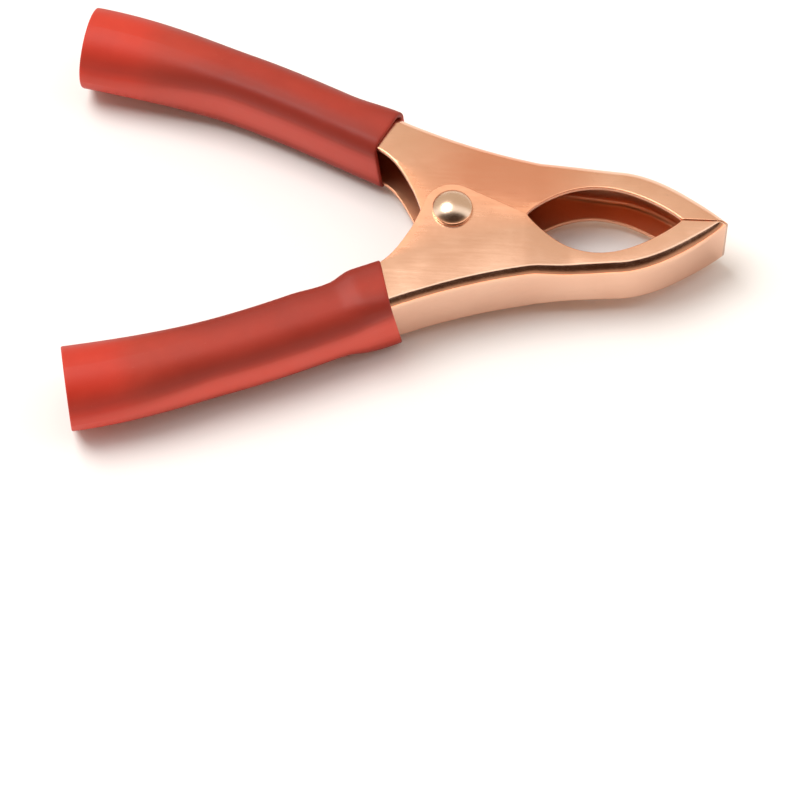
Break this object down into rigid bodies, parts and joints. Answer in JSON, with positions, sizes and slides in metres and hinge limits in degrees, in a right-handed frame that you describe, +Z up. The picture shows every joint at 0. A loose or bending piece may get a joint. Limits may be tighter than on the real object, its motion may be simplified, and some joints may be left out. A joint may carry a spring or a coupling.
{
  "type": "spring clip with insulated handles",
  "caption": "Copper-plated stamped steel spring clip with a rounded mouth, domed pivot rivet and soft red handle sleeves, for the end of a test or charging lead.",
  "frame": {"origin": "middle of the footprint of the clip lying on its side, on the surface it lies on", "axes": "+X from the handles to the nose, +Y towards the inner jaw and its handle, +Z up along the pivot rivet, domed head on top"},
  "size_m": [0.1006, 0.0736, 0.0147],
  "materials": {
    "copper_plate": "bright copper plate on stamped steel",
    "rivet_plate": "bright copper plate",
    "spring_steel": "drawn wire",
    "red_vinyl": "soft glossy dip-moulded vinyl"
  },
  "bodies": {
    "outer_jaw": {"outer_jaw": "copper_plate", "pivot_rivet": "rivet_plate", "torsion_spring": "spring_steel", "outer_sleeve": "red_vinyl"},
    "inner_jaw": {"inner_jaw": "copper_plate", "inner_sleeve": "red_vinyl"}
  },
  "joints": [
    {"name": "jaw_pivot", "type": "hinge", "parent": "outer_jaw", "child": "inner_jaw", "pos_m": [0.00864, -0.00014, 0.00697], "axis": [0, 0, 1], "range_deg": [0, 44], "stiffness_Nm_per_rad": 0.8, "springref_deg": -45.84, "deforming": ["torsion_spring"]}
  ]
}
